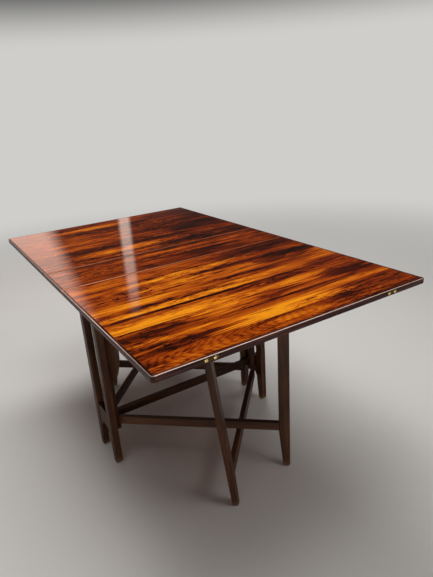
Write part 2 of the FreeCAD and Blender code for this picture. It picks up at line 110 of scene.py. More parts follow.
def stained_beech(name, along):
    """Satin stained beech with its grain along a direction of the part's frame."""
    material, tree, output, place = new_material(name)
    turn = along.rotation_difference(Vector((1, 0, 0))).to_euler()
    grain = add(tree, "ShaderNodeMapping", {"Vector": place, "Rotation": turn}).outputs[0]
    tones = []
    for length, width, fineness in BEECH_GRAIN:
        per_metre = (1 / (length * MM), 1 / (width * MM), 1 / (width * MM))
        stretched = add(tree, "ShaderNodeVectorMath", {0: grain, 1: per_metre},
                        operation="MULTIPLY").outputs[0]
        tones.append(add(tree, "ShaderNodeTexNoise",
                         {"Vector": stretched, "Scale": 1, "Detail": fineness}).outputs[0])
    broad, streak, vessel = tones
    mixed = add(tree, "ShaderNodeMath", {0: streak, 1: 0.55, 2: broad}, operation="MULTIPLY_ADD").outputs[0]
    tone = add(tree, "ShaderNodeMapRange", {0: mixed, 1: 0.45, 2: 1.1}).outputs[0]
    colour = add(tree, "ShaderNodeValToRGB", {0: tone},
                 [(0.1, STAIN_DARK), (0.5, STAIN_MID), (0.95, STAIN_PALE)]).outputs[0]
    pores = add(tree, "ShaderNodeMapRange", {0: vessel, 1: 0.60, 2: 0.72, 3: 0, 4: 0.6}).outputs[0]
    colour = add(tree, "ShaderNodeMix", {0: pores, 6: colour, 7: linear(STAIN_DARK)},
                 data_type="RGBA").outputs[2]
    height = add(tree, "ShaderNodeSeparateXYZ", {0: place}).outputs[2]
    low = add(tree, "ShaderNodeMapRange",
              {0: height, 1: FOOT_RUB_TOP, 2: FOOT_RUB_FULL, 3: 0, 4: FOOT_RUB}).outputs[0]
    pale_mask = add(tree, "ShaderNodeMath", {0: low, 1: broad}, operation="MULTIPLY").outputs[0]
    colour = add(tree, "ShaderNodeMix", {0: pale_mask, 6: colour, 7: linear(STAIN_WORN)},
                 data_type="RGBA").outputs[2]
    gloss = add(tree, "ShaderNodeMapRange", {0: broad, 1: 0.3, 2: 0.7, 3: 0.38, 4: 0.52}).outputs[0]
    relief = add(tree, "ShaderNodeBump", {"Height": mixed, "Strength": 0.12, "Distance": 0.3 * MM}).outputs[0]
    shader = add(tree, "ShaderNodeBsdfPrincipled",
                 {"Base Color": colour, "Roughness": gloss, "Normal": relief, "IOR": 1.5,
                  "Specular IOR Level": 0.18})
    tree.links.new(shader.outputs[0], output.inputs[0])
    return material


def dress(node, material):
    """Gives a solid of the frame its finish."""
    slots = frame["nodes"][node].data.materials
    slots.clear()
    slots.append(material)


upright_beech = stained_beech("stained_beech_upright", Vector((0, 0, 1)))
crosswise_beech = stained_beech("stained_beech_crosswise", Vector((0, 1, 0)))
lengthwise_beech = stained_beech("stained_beech_lengthwise", Vector((1, 0, 0)))
for end in ("left", "right"):
    for side in ("near", "far"):
        dress(f"{end}_{side}_post", upright_beech)
        dress(f"{end}_{side}_pivot_block", crosswise_beech)
    for piece in ("cross_rail", "top_bearer", "upper_pivot_block"):
        dress(f"{end}_{piece}", crosswise_beech)
for piece in ("centre_stretcher", "top_rail"):
    dress(piece, lengthwise_beech)

# Gates: turned pivot posts with their cheeks, the bars and legs that swing out with them, and the rests.
# The same stained beech, with the grain along each bar and up each leaning leg.
# A bar turns by a round tenon in its post and is glued to its leg; the rests are glued under the leaves.

leans = {joint["child"]: joint for joint in frame["joints"] if joint["name"].endswith("_lean")}
for gate in ("near_left", "near_right", "far_left", "far_right"):
    lean = leans[gate + "_arm"]
    bar_way = Vector(lean["axis"])
    leg_way = Matrix.Rotation(-radians(lean["range_deg"][1]), 3, bar_way) @ Vector((0, 0, 1))
    dress(gate + "_pivot_post", upright_beech)
    dress(gate + "_stretcher", stained_beech(f"stained_beech_{gate}_bar", bar_way))
    dress(gate + "_leg", stained_beech(f"stained_beech_{gate}_leg", leg_way))
for side in ("near", "far"):
    dress(side + "_leaf_rests", lengthwise_beech)

# Centre panel and leaves: boards veneered in rosewood, with the grain along the hinges.
# Knife-cut leaves laid side by side, so tone and figure change at each straight seam.
# A clear gloss lacquer lies over them and mirrors the light at low angles.

INK = "#1A0905"
TONES = [(0.0, "#200902"), (0.18, "#4C1503"), (0.36, "#7A2904"), (0.54, "#A54507"),
         (0.72, "#CB6710"), (0.88, "#E68213"), (1.0, "#F69A16")]
# The veneer leaves from the near edge to the far one, in millimetres: where each ends across the top, its
# own tone, and its patches of figure as middle x, middle y, half length, half width and strength
VENEER_LEAVES = [
    (-672, -0.25, [(-330, -722, 150, 36, 0.16), (-95, -684, 62, 18, -0.22), (30, -705, 90, 20, 0.14),
                   (175, -668, 70, 10, -0.22), (205, -692, 60, 14, -0.12),
                   (350, -705, 230, 60, 0.13)]),
    (-519, -0.21, [(10, -649, 270, 46, 0.50), (-150, -660, 120, 20, 0.26), (65, -643, 34, 8, -0.70),
                   (330, -611, 220, 20, 0.36), (70, -583, 270, 10, -0.30), (-275, -648, 175, 26, -0.32),
                   (-340, -601, 150, 13, 0.34), (-340, -563, 190, 26, -0.20), (-120, -538, 150, 44, 0.28),
                   (20, -545, 110, 36, -0.18), (165, -524, 110, 26, 0.24), (330, -550, 150, 38, -0.32)]),
    (-434, -0.20, [(-360, -502, 220, 50, 0.38), (-120, -442, 420, 12, -0.30), (-140, -498, 150, 34, 0.28),
                   (40, -480, 150, 34, -0.16), (160, -500, 120, 30, 0.24), (360, -480, 130, 36, 0.10)]),
    (-338, -0.20, [(-350, -346, 200, 44, 0.36), (-170, -392, 220, 15, -0.32), (-230, -428, 330, 36, 0.40),
                   (70, -408, 260, 40, 0.22), (50, -350, 200, 15, -0.26), (430, -362, 100, 44, 0.30)]),
    (-192, -0.22, [(-20, -197, 260, 44, 0.44), (-120, -294, 155, 50, 0.30), (60, -254, 190, 22, -0.28),
                   (105, -300, 110, 36, 0.24), (300, -256, 180, 40, -0.30), (430, -316, 90, 36, 0.34)]),
    (-101, -0.33, [(-330, -140, 200, 40, 0.12), (200, -150, 280, 50, -0.12)]),
    (101, -0.38, [(-260, -5, 240, 100, 0.10), (320, 5, 170, 110, 0.24), (160, 55, 360, 14, 0.20),
                  (60, -15, 170, 60, -0.14)]),
    (242, -0.36, [(-70, 206, 330, 46, 0.38), (330, 228, 200, 32, 0.22)]),
    (400, -0.36, [(-220, 330, 150, 42, 0.24), (95, 325, 90, 34, 0.16), (320, 345, 240, 85, -0.14),
                  (-40, 270, 300, 20, -0.16)]),
    (468, -0.36, [(-160, 416, 240, 34, 0.28)]),
    (612, -0.36, [(-180, 530, 110, 48, 0.14), (0, 590, 320, 30, -0.12), (410, 570, 70, 90, -0.16)]),
    (746, -0.36, [(-100, 640, 270, 44, 0.28), (410, 660, 70, 90, -0.12)]),
]
veneer, tree, output, place = new_material("rosewood_veneer_gloss_lacquer")
along, across, _ = add(tree, "ShaderNodeSeparateXYZ", {0: place}).outputs
# Each veneer leaf has a number of its own, which moves every pattern by up to 4 m to another stretch
LEAF_SHIFT = (4, 4, 4)
LEAF_STEP = 7
leaf_count = len(VENEER_LEAVES)
half_width = max(cad_box[1].y, -cad_box[0].y)
share = add(tree, "ShaderNodeMapRange", {0: across, 1: -half_width, 2: half_width}).outputs[0]
leaf_stops = [(0.0, [0, 0, 0, 1])]
for count, (far_seam, _, _) in enumerate(VENEER_LEAVES[:-1], start=1):
    grey = (count * LEAF_STEP % leaf_count) / leaf_count
    leaf_stops.append(((far_seam * MM + half_width) / (2 * half_width), [grey, grey, grey, 1]))
leaf_number = add(tree, "ShaderNodeValToRGB", {0: share}, leaf_stops)
leaf_number.color_ramp.interpolation = "CONSTANT"
shift = add(tree, "ShaderNodeCombineXYZ", {0: leaf_number.outputs[0], 2: leaf_number.outputs[0]}).outputs[0]
moved = add(tree, "ShaderNodeVectorMath", {0: shift, 1: LEAF_SHIFT, 2: place},
            operation="MULTIPLY_ADD").outputs[0]
# Patterns as length along the grain and width across it in millimetres, fineness and twist. The pores are
# drawn coarser than real ones, so that they show
ROSEWOOD_GRAIN = {
    "wander": (588.2, 285.7, 2, 0.0),
    "flame": (312.5, 10, 3, 0.3),
    "fray": (71.43, 6.25, 3, 0.8),
    "band": (1000, 29.41, 3, 0.2),
    "cloud": (416.7, 90.91, 3, 0.5),
    "field": (714.3, 125, 2, 0.5),
    "blotch": (111.1, 22.73, 3, 1.6),
    "mottle": (83.33, 16.67, 3, 1.2),
    "vein": (588.2, 27.78, 3, 0.3),
    "fibre": (83.33, 2.381, 3, 0.0),
    "pore": (18.18, 1.111, 1, 0.0),
}
patterns = {}
for name, (length, width, fineness, twist) in ROSEWOOD_GRAIN.items():
    per_metre = (1 / (length * MM), 1 / (width * MM), 1)
    stretched = add(tree, "ShaderNodeVectorMath", {0: moved, 1: per_metre}, operation="MULTIPLY").outputs[0]
    patterns[name] = add(tree, "ShaderNodeTexNoise",
                         {"Vector": stretched, "Scale": 1, "Detail": fineness,
                          "Distortion": twist}).outputs[0]
# The figure wanders by 9 mm across the grain, its edges fray, and its ends split into long flames
WANDER = 18 * MM
FRAY = 8 * MM
SPLIT = 420 * MM
slow = add(tree, "ShaderNodeMath", {0: patterns["wander"], 1: WANDER, 2: -WANDER / 2 - FRAY / 2},
           operation="MULTIPLY_ADD").outputs[0]
frayed = add(tree, "ShaderNodeMath", {0: patterns["fray"], 1: FRAY, 2: slow},
             operation="MULTIPLY_ADD").outputs[0]
split = add(tree, "ShaderNodeMath", {0: patterns["flame"], 1: SPLIT, 2: -SPLIT / 2},
            operation="MULTIPLY_ADD").outputs[0]
split = add(tree, "ShaderNodeMath", {0: along, 1: split}, operation="ADD").outputs[0]
bowed = add(tree, "ShaderNodeMath", {0: across, 1: frayed}, operation="ADD").outputs[0]
grain = add(tree, "ShaderNodeCombineXYZ", {0: split, 1: bowed}).outputs[0]
# Three patterns make the figure of every leaf, and its own patches fade out from a full core
FIGURE = {"cloud": 0.62, "band": 0.55, "flame": 0.40}
PATCH_CORE = 0.6
figure = 0.0
for name, strength in FIGURE.items():
    figure = add(tree, "ShaderNodeMath", {0: patterns[name], 1: strength, 2: figure},
                 operation="MULTIPLY_ADD").outputs[0]
near_seam = -half_width / MM
for far_seam, leaf_tone, patches in VENEER_LEAVES:
    for x, y, half_length, half_breadth, strength in patches:
        patch = add(tree, "ShaderNodeMapping",
                    {"Vector": grain, "Location": (x * MM, y * MM, 0),
                     "Scale": (half_length * MM, half_breadth * MM, 1)}, vector_type="TEXTURE").outputs[0]
        glow = add(tree, "ShaderNodeTexGradient", {0: patch}, gradient_type="SPHERICAL").outputs[1]
        full = add(tree, "ShaderNodeMapRange", {0: glow, 1: 0.0, 2: PATCH_CORE},
                   interpolation_type="SMOOTHSTEP").outputs[0]
        leaf_tone = add(tree, "ShaderNodeMath", {0: full, 1: strength, 2: leaf_tone},
                        operation="MULTIPLY_ADD").outputs[0]
    past = add(tree, "ShaderNodeMath", {0: across, 1: near_seam * MM}, operation="GREATER_THAN").outputs[0]
    short = add(tree, "ShaderNodeMath", {0: across, 1: far_seam * MM}, operation="LESS_THAN").outputs[0]
    within = add(tree, "ShaderNodeMath", {0: past, 1: short}, operation="MULTIPLY").outputs[0]
    figure = add(tree, "ShaderNodeMath", {0: within, 1: leaf_tone, 2: figure},
                 operation="MULTIPLY_ADD").outputs[0]
    near_seam = far_seam
# The right end of the top is the darker one
DARKEN_FROM = -50 * MM
DARKEN_TO = 380 * MM
DARKEST = -0.18
darker = add(tree, "ShaderNodeMapRange",
             {0: along, 1: DARKEN_FROM, 2: DARKEN_TO, 3: 0.0, 4: DARKEST}).outputs[0]
figure = add(tree, "ShaderNodeMath", {0: figure, 1: darker}, operation="ADD").outputs[0]
# Swirling blotches lie everywhere, and most of all in the mottled places, but few at the right end
CALM_FROM = 200 * MM
CALM_TO = 360 * MM
SWIRL = 0.17
mottled = add(tree, "ShaderNodeMapRange", {0: patterns["field"], 1: 0.46, 2: 0.58, 3: 0, 4: 1}).outputs[0]
calm = add(tree, "ShaderNodeMapRange", {0: along, 1: CALM_FROM, 2: CALM_TO, 3: 1.0, 4: 0.3}).outputs[0]
mottled = add(tree, "ShaderNodeMath", {0: mottled, 1: calm}, operation="MULTIPLY").outputs[0]
swirl_share = add(tree, "ShaderNodeMapRange", {0: mottled, 3: 0.15, 4: 1.0}).outputs[0]
swirl = add(tree, "ShaderNodeMapRange",
            {0: patterns["blotch"], 1: 0.36, 2: 0.64, 3: -SWIRL, 4: SWIRL}).outputs[0]
figure = add(tree, "ShaderNodeMath", {0: swirl, 1: swirl_share, 2: figure},
             operation="MULTIPLY_ADD").outputs[0]
# Growth lines follow the figure, so that they close into loops round each patch
LINE_COUNT = 13.0
LINE_BEND = 0.05
rings = add(tree, "ShaderNodeMath", {0: figure, 1: LINE_BEND, 2: patterns["field"]},
            operation="MULTIPLY_ADD").outputs[0]
rings = add(tree, "ShaderNodeMath", {0: rings, 1: LINE_COUNT}, operation="MULTIPLY").outputs[0]
rings = add(tree, "ShaderNodeMath", {0: rings}, operation="FRACT").outputs[0]
late = add(tree, "ShaderNodeMapRange", {0: rings, 1: 0.45, 2: 1.0, 3: 0, 4: 1}).outputs[0]
line_strength = add(tree, "ShaderNodeMapRange",
                    {0: patterns["cloud"], 1: 0.40, 2: 0.65, 3: 0.22, 4: 0.05}).outputs[0]
lines = add(tree, "ShaderNodeMath", {0: late, 1: line_strength}, operation="MULTIPLY").outputs[0]
# Uneven cathedral arches, 24 mm apart, show in the left half of the outermost leaf of the near side. A
# wave texture of scale 1 repeats every 2 pi / 20
ARCH_SPACING = 24 * MM
ARCH_MIDDLE = (750 * MM, -705 * MM, 0)
ARCH_SQUEEZE = 0.12
WAVE_PERIOD = 2 * pi / 20
ARCH_CLEAR_TO = -50 * MM
ARCH_FAINT_FROM = 100 * MM
bow = add(tree, "ShaderNodeCombineXYZ", {0: along, 1: bowed}).outputs[0]
arch_place = add(tree, "ShaderNodeMapping",
                 {"Vector": bow, "Location": ARCH_MIDDLE, "Scale": (1, ARCH_SQUEEZE, 1)},
                 vector_type="TEXTURE").outputs[0]
arches = add(tree, "ShaderNodeTexWave",
             {"Vector": arch_place, "Scale": WAVE_PERIOD / ARCH_SPACING, "Distortion": 14.0, "Detail": 2,
              "Detail Scale": 0.30},
             wave_type="RINGS", rings_direction="SPHERICAL", wave_profile="SIN").outputs[1]
outermost = add(tree, "ShaderNodeMath", {0: across, 1: VENEER_LEAVES[0][0] * MM},
                operation="LESS_THAN").outputs[0]
clearest = add(tree, "ShaderNodeMapRange",
               {0: along, 1: ARCH_CLEAR_TO, 2: ARCH_FAINT_FROM, 3: 0.17, 4: 0.05}).outputs[0]
arched = add(tree, "ShaderNodeMapRange", {0: arches, 1: 0.30, 2: 1.0, 3: 0, 4: clearest}).outputs[0]
arched = add(tree, "ShaderNodeMath", {0: arched, 1: outermost}, operation="MULTIPLY").outputs[0]
# Ink lines where a pattern crosses its middle level: short curls in the mottled places, and long veins
INK_LINES = [("mottle", 0.06, 0.45), ("vein", 0.018, 0.40)]
inked = []
for name, width, depth in INK_LINES:
    level = add(tree, "ShaderNodeMath", {0: patterns[name], 1: 0.5}, operation="SUBTRACT").outputs[0]
    level = add(tree, "ShaderNodeMath", {0: level}, operation="ABSOLUTE").outputs[0]
    inked.append(add(tree, "ShaderNodeMapRange", {0: level, 1: 0.0, 2: width, 3: depth, 4: 0.0}).outputs[0])
curl, vein = inked
squiggle = add(tree, "ShaderNodeMath", {0: curl, 1: mottled}, operation="MULTIPLY").outputs[0]
FIBRE = 0.13
fibres = add(tree, "ShaderNodeMapRange",
             {0: patterns["fibre"], 1: 0.3, 2: 0.7, 3: -FIBRE, 4: FIBRE}).outputs[0]
tone = figure
for mark in (lines, arched, squiggle, vein):
    tone = add(tree, "ShaderNodeMath", {0: tone, 1: mark}, operation="SUBTRACT").outputs[0]
tone = add(tree, "ShaderNodeMath", {0: tone, 1: fibres}, operation="ADD").outputs[0]
colour = add(tree, "ShaderNodeValToRGB", {0: tone}, TONES).outputs[0]
pores = add(tree, "ShaderNodeMapRange", {0: patterns["pore"], 1: 0.60, 2: 0.70, 3: 0, 4: 0.5}).outputs[0]
colour = add(tree, "ShaderNodeMix", {0: pores, 6: colour, 7: linear(INK)}, data_type="RGBA").outputs[2]
# The lacquer has sunk a little into the grain
relief = add(tree, "ShaderNodeBump",
             {"Height": patterns["fibre"], "Strength": 0.05, "Distance": 0.1 * MM}).outputs[0]
haze = add(tree, "ShaderNodeMapRange", {0: patterns["cloud"], 1: 0.3, 2: 0.7, 3: 0.30, 4: 0.42}).outputs[0]
shader = add(tree, "ShaderNodeBsdfPrincipled",
             {"Base Color": colour, "Roughness": haze, "Normal": relief, "IOR": 1.45,
              "Specular IOR Level": 0.0, "Coat Weight": 1.0, "Coat Roughness": 0.06, "Coat IOR": 1.5})
tree.links.new(shader.outputs[0], output.inputs[0])
for panel in ("centre_panel", "near_leaf_panel", "far_leaf_panel"):
    dress(panel, veneer)

# Lipping: solid rosewood strips glued round each board, with a rounded upper arris.
# Dark purple brown, browner beside the hinge joints, with the grain along each strip, under gloss lacquer.
# Hands have rubbed the arris pale, and a painted highlight lies over the rub; the joints are worn where the
# leaves work on each other, with a painted glint along them.

LIP_DARK = "#22100E"
LIP_MID = "#3C211D"
LIP_PALE = "#5B3730"
# The pale arris colour is partly rub and partly a painted highlight
LIP_RUB_AND_HIGHLIGHT = "#F2D0BE"
# The pale joint colour is partly worn lacquer and partly a painted glint
JOINT_WEAR_AND_GLINT = "#DDA27A"
JOINT_DARK = "#3A1405"
JOINT_MID = "#6A2808"
JOINT_PALE = "#8E3F0C"
ARRIS = 3 * MM
# Patterns as length along a strip and width across it in millimetres
LIP_GRAIN = [(200, 11.11), (71.43, 1.667)]
lip_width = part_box("centre_lipping")[1].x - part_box("centre_panel")[1].x
low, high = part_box("far_hinge_pins")
joint_y = (low.y + high.y) / 2
lipping, tree, output, place = new_material("rosewood_lipping_gloss_lacquer")
along_x, along_y, height = add(tree, "ShaderNodeSeparateXYZ", {0: place}).outputs
swapped = add(tree, "ShaderNodeCombineXYZ", {0: along_y, 1: along_x, 2: height}).outputs[0]
from_middle = add(tree, "ShaderNodeMath", {0: along_x}, operation="ABSOLUTE").outputs[0]
on_end = add(tree, "ShaderNodeMath", {0: from_middle, 1: cad_box[1].x - lip_width},
             operation="GREATER_THAN").outputs[0]
grain = add(tree, "ShaderNodeMix", {0: on_end, 4: place, 5: swapped}, data_type="VECTOR").outputs[1]
tones = []
for length, width in LIP_GRAIN:
    per_metre = (1 / (length * MM), 1 / (width * MM), 1 / (width * MM))
    stretched = add(tree, "ShaderNodeVectorMath", {0: grain, 1: per_metre}, operation="MULTIPLY").outputs[0]
    tones.append(add(tree, "ShaderNodeTexNoise", {"Vector": stretched, "Scale": 1, "Detail": 3}).outputs[0])
broad, streak = tones
mixed = add(tree, "ShaderNodeMath", {0: streak, 1: 0.5, 2: broad}, operation="MULTIPLY_ADD").outputs[0]
tone = add(tree, "ShaderNodeMapRange", {0: mixed, 1: 0.5, 2: 1.0}).outputs[0]
colour = add(tree, "ShaderNodeValToRGB", {0: tone},
             [(0.1, LIP_DARK), (0.5, LIP_MID), (0.95, LIP_PALE)]).outputs[0]
# The strips along the hinge joints are browner, like the veneer beside them
JOINT_MARGIN = 1 * MM
brown = add(tree, "ShaderNodeValToRGB", {0: tone},
            [(0.1, JOINT_DARK), (0.5, JOINT_MID), (0.95, JOINT_PALE)]).outputs[0]
from_joint = add(tree, "ShaderNodeMath", {0: along_y}, operation="ABSOLUTE").outputs[0]
from_joint = add(tree, "ShaderNodeMath", {0: from_joint, 1: joint_y}, operation="SUBTRACT").outputs[0]
from_joint = add(tree, "ShaderNodeMath", {0: from_joint}, operation="ABSOLUTE").outputs[0]
beside_joint = add(tree, "ShaderNodeMath", {0: from_joint, 1: lip_width + JOINT_MARGIN},
                   operation="LESS_THAN").outputs[0]
colour = add(tree, "ShaderNodeMix", {0: beside_joint, 6: colour, 7: brown}, data_type="RGBA").outputs[2]
# The rub with its painted highlight is a narrow pale band on the arris, just below the flat of the top
HIGHLIGHT_AND_RUB_FOOT = 0.46 * ARRIS
HIGHLIGHT_AND_RUB_HEAD = 0.33 * ARRIS
FLAT = 0.15 * MM
top = cad_box[1].z
on_arris = add(tree, "ShaderNodeMapRange",
               {0: height, 1: top - HIGHLIGHT_AND_RUB_FOOT, 2: top - HIGHLIGHT_AND_RUB_HEAD, 3: 0, 4: 1}).outputs[0]
below_top = add(tree, "ShaderNodeMath", {0: height, 1: top - FLAT}, operation="LESS_THAN").outputs[0]
pale_mask = add(tree, "ShaderNodeMath", {0: on_arris, 1: below_top}, operation="MULTIPLY").outputs[0]
# The painted highlight and the rub are strongest on the near and left edges, the ones most used, but an end
# edge gets little of them by the near corner
MOST_USED = -850 * MM
LEAST_USED = 150 * MM
CORNER_FROM = -700 * MM
CORNER_TO = -480 * MM
highlight_and_wear_share = add(tree, "ShaderNodeMath", {0: along_x, 1: along_y}, operation="ADD").outputs[0]
highlight_and_wear_share = add(tree, "ShaderNodeMapRange", {0: highlight_and_wear_share, 1: MOST_USED, 2: LEAST_USED, 3: 1.0, 4: 0.3}).outputs[0]
by_corner = add(tree, "ShaderNodeMapRange",
                {0: along_y, 1: CORNER_FROM, 2: CORNER_TO, 3: 0.65, 4: 0.0}).outputs[0]
spared = add(tree, "ShaderNodeMath", {0: by_corner, 1: on_end}, operation="MULTIPLY").outputs[0]
spared = add(tree, "ShaderNodeMath", {0: 1.0, 1: spared}, operation="SUBTRACT").outputs[0]
for part in (highlight_and_wear_share, spared):
    pale_mask = add(tree, "ShaderNodeMath", {0: pale_mask, 1: part}, operation="MULTIPLY").outputs[0]
# The arris takes the pale colour, which is partly a rub and partly a painted highlight
colour = add(tree, "ShaderNodeMix", {0: pale_mask, 6: colour, 7: linear(LIP_RUB_AND_HIGHLIGHT)}, data_type="RGBA").outputs[2]
# At the hinge joints the lacquer is rubbed off for 2 mm each side and a glint is painted there, most of all
# by the near leaf's left end, and not at all from just right of the middle
GLINT_AND_WEAR_FULL = 2 * MM
GLINT_AND_WEAR_END = 3 * MM
GLINT_AND_WEAR_LEFT = -350 * MM
GLINT_AND_WEAR_RIGHT = 80 * MM
joint_wear_and_glint = add(tree, "ShaderNodeMapRange", {0: from_joint, 1: GLINT_AND_WEAR_END, 2: GLINT_AND_WEAR_FULL, 3: 0, 4: 1}).outputs[0]
left_share = add(tree, "ShaderNodeMapRange",
                 {0: along_x, 1: GLINT_AND_WEAR_LEFT, 2: GLINT_AND_WEAR_RIGHT, 3: 1.0, 4: 0.0}).outputs[0]
near_share = add(tree, "ShaderNodeMapRange",
                 {0: along_y, 1: -joint_y, 2: joint_y, 3: 1.0, 4: 0.40}).outputs[0]
for part in (left_share, near_share):
    joint_wear_and_glint = add(tree, "ShaderNodeMath", {0: joint_wear_and_glint, 1: part}, operation="MULTIPLY").outputs[0]
# The joints take the pale colour, which is partly worn lacquer and partly a painted glint
colour = add(tree, "ShaderNodeMix", {0: joint_wear_and_glint, 6: colour, 7: linear(JOINT_WEAR_AND_GLINT)},
             data_type="RGBA").outputs[2]
relief = add(tree, "ShaderNodeBump", {"Height": mixed, "Strength": 0.06, "Distance": 0.1 * MM}).outputs[0]
haze = add(tree, "ShaderNodeMapRange", {0: broad, 1: 0.3, 2: 0.7, 3: 0.30, 4: 0.42}).outputs[0]
shader = add(tree, "ShaderNodeBsdfPrincipled",
             {"Base Color": colour, "Roughness": haze, "Normal": relief, "IOR": 1.45,
              "Specular IOR Level": 0.0, "Coat Weight": 0.4, "Coat Roughness": 0.08, "Coat IOR": 1.5})
tree.links.new(shader.outputs[0], output.inputs[0])
for panel in ("centre", "near_leaf", "far_leaf"):
    dress(panel + "_lipping", lipping)

# Butt hinges and edge plates: sheet brass, gone brown with age, brighter in patches where it is touched.
# Pressed plates with rolled knuckles on brass pins, screwed under the boards and to the leaves' edges.
# The metal is satin, with tarnish in clouds some 9 mm across and specks of nearly 1 mm.

BRASS = "#EBD194"
TARNISH = "#5C4422"
TARNISH_CLOUD = 9.09 * MM
TARNISH_SPECK = 0.909 * MM


def aged_brass(name, tarnished):
    """Brass with clouds of tarnish over a share of its surface."""
    material, tree, output, place = new_material(name)
    cloud = add(tree, "ShaderNodeTexNoise",
                {"Vector": place, "Scale": 1 / TARNISH_CLOUD, "Detail": 3, "Distortion": 0.6}).outputs[0]
    speck = add(tree, "ShaderNodeTexNoise",
                {"Vector": place, "Scale": 1 / TARNISH_SPECK, "Detail": 2}).outputs[0]
    mixed = add(tree, "ShaderNodeMath", {0: speck, 1: 0.3, 2: cloud}, operation="MULTIPLY_ADD").outputs[0]
    stain = add(tree, "ShaderNodeMapRange", {0: mixed, 1: 0.85 - tarnished, 2: 1.05 - tarnished}).outputs[0]
    colour = add(tree, "ShaderNodeMix", {0: stain, 6: linear(BRASS), 7: linear(TARNISH)},
                 data_type="RGBA").outputs[2]
    gloss = add(tree, "ShaderNodeMapRange", {0: stain, 3: 0.26, 4: 0.52}).outputs[0]
    relief = add(tree, "ShaderNodeBump",
                 {"Height": speck, "Strength": 0.08, "Distance": 0.05 * MM}).outputs[0]
    shader = add(tree, "ShaderNodeBsdfPrincipled",
                 {"Base Color": colour, "Metallic": 1, "Roughness": gloss, "Normal": relief})
    tree.links.new(shader.outputs[0], output.inputs[0])
    return material


plate_brass = aged_brass("aged_sheet_brass", 0.50)
for side in ("near", "far"):
    for piece in ("edge_plates", "hinge_frame_plates", "hinge_leaf_plates", "hinge_pins"):
        dress(f"{side}_{piece}", plate_brass)

# Screws of the hinges and edge plates: turned brass wood screws with slotted, slightly domed heads.
# Three to each hinge flap in a staggered row, and two to each edge plate.
# Each head is part of a ball, cut flat below and slotted across.

screw_brass = aged_brass("turned_screw_brass", 0.05)
HEAD_SEGMENTS = 20
BALL_RINGS = 48
heads = bpy.data.node_groups.new("slotted_screw_heads", "GeometryNodeTree")
heads.interface.new_socket("Geometry", in_out="INPUT", socket_type="NodeSocketGeometry")
for label in ("Head Diameter", "Dome Height", "Slot Width", "Slot Depth"):
    heads.interface.new_socket(label, in_out="INPUT", socket_type="NodeSocketFloat")
heads.interface.new_socket("Facing", in_out="INPUT", socket_type="NodeSocketRotation")
heads.interface.new_socket("Turn Seed", in_out="INPUT", socket_type="NodeSocketInt")
heads.interface.new_socket("Finish", in_out="INPUT", socket_type="NodeSocketMaterial")
heads.interface.new_socket("Geometry", in_out="OUTPUT", socket_type="NodeSocketGeometry")
given = add(heads, "NodeGroupInput").outputs
# A cap of radius r and height d is part of a ball of radius (r * r + d * d) / 2d
radius = add(heads, "ShaderNodeMath", {0: given["Head Diameter"], 1: 0.5}, operation="MULTIPLY").outputs[0]
squares = add(heads, "ShaderNodeMath", {0: radius, 1: radius}, operation="MULTIPLY").outputs[0]
squares = add(heads, "ShaderNodeMath", {0: given["Dome Height"], 1: given["Dome Height"], 2: squares},
              operation="MULTIPLY_ADD").outputs[0]
ball_radius = add(heads, "ShaderNodeMath", {0: squares, 1: given["Dome Height"]},
                  operation="DIVIDE").outputs[0]
ball_radius = add(heads, "ShaderNodeMath", {0: ball_radius, 1: 0.5}, operation="MULTIPLY").outputs[0]
sink = add(heads, "ShaderNodeMath", {0: given["Dome Height"], 1: ball_radius},
           operation="SUBTRACT").outputs[0]
ball = add(heads, "GeometryNodeMeshUVSphere",
           {"Segments": HEAD_SEGMENTS, "Rings": BALL_RINGS, "Radius": ball_radius}).outputs[0]
ball_place = add(heads, "ShaderNodeCombineXYZ", {2: sink}).outputs[0]
ball = add(heads, "GeometryNodeTransform", {"Geometry": ball, "Translation": ball_place}).outputs[0]
# A block twice as wide as the ball cuts off what lies below the head's flat
below = add(heads, "ShaderNodeMath", {0: ball_radius, 1: 4.0}, operation="MULTIPLY").outputs[0]
below_size = add(heads, "ShaderNodeCombineXYZ", {0: below, 1: below, 2: below}).outputs[0]
below_half = add(heads, "ShaderNodeMath", {0: below, 1: -0.5}, operation="MULTIPLY").outputs[0]
below_place = add(heads, "ShaderNodeCombineXYZ", {2: below_half}).outputs[0]
under = add(heads, "GeometryNodeMeshCube", {"Size": below_size}).outputs[0]
under = add(heads, "GeometryNodeTransform", {"Geometry": under, "Translation": below_place}).outputs[0]
slot_height = add(heads, "ShaderNodeMath", {0: given["Slot Depth"], 1: 2.0}, operation="MULTIPLY").outputs[0]
slot_size = add(heads, "ShaderNodeCombineXYZ",
                {0: below, 1: given["Slot Width"], 2: slot_height}).outputs[0]
slot_place = add(heads, "ShaderNodeCombineXYZ", {2: given["Dome Height"]}).outputs[0]
groove = add(heads, "GeometryNodeMeshCube", {"Size": slot_size}).outputs[0]
groove = add(heads, "GeometryNodeTransform", {"Geometry": groove, "Translation": slot_place}).outputs[0]
cap = ball
for cutter in (under, groove):
    cap = add(heads, "GeometryNodeMeshBoolean", {"Mesh 1": cap, "Mesh 2": cutter},
              operation="DIFFERENCE").outputs[0]
# Each screw stops at a turn of its own
turn = add(heads, "FunctionNodeRandomValue", {"Seed": given["Turn Seed"], 2: 0.0, 3: pi},
           data_type="FLOAT").outputs[1]
spin = add(heads, "FunctionNodeAxisAngleToRotation", {"Axis": (0, 0, 1), "Angle": turn}).outputs[0]
stand = add(heads, "FunctionNodeRotateRotation", {0: given["Facing"], 1: spin},
            rotation_space="LOCAL").outputs[0]
placed = add(heads, "GeometryNodeInstanceOnPoints",
             {"Points": given["Geometry"], "Instance": cap, "Rotation": stand}).outputs[0]
placed = add(heads, "GeometryNodeRealizeInstances", {"Geometry": placed}).outputs[0]
placed = add(heads, "GeometryNodeSetMaterial", {"Geometry": placed, "Material": given["Finish"]}).outputs[0]
add(heads, "NodeGroupOutput", {0: placed})
socket_of = {item.name: item.identifier for item in heads.interface.items_tree if item.in_out == "INPUT"}


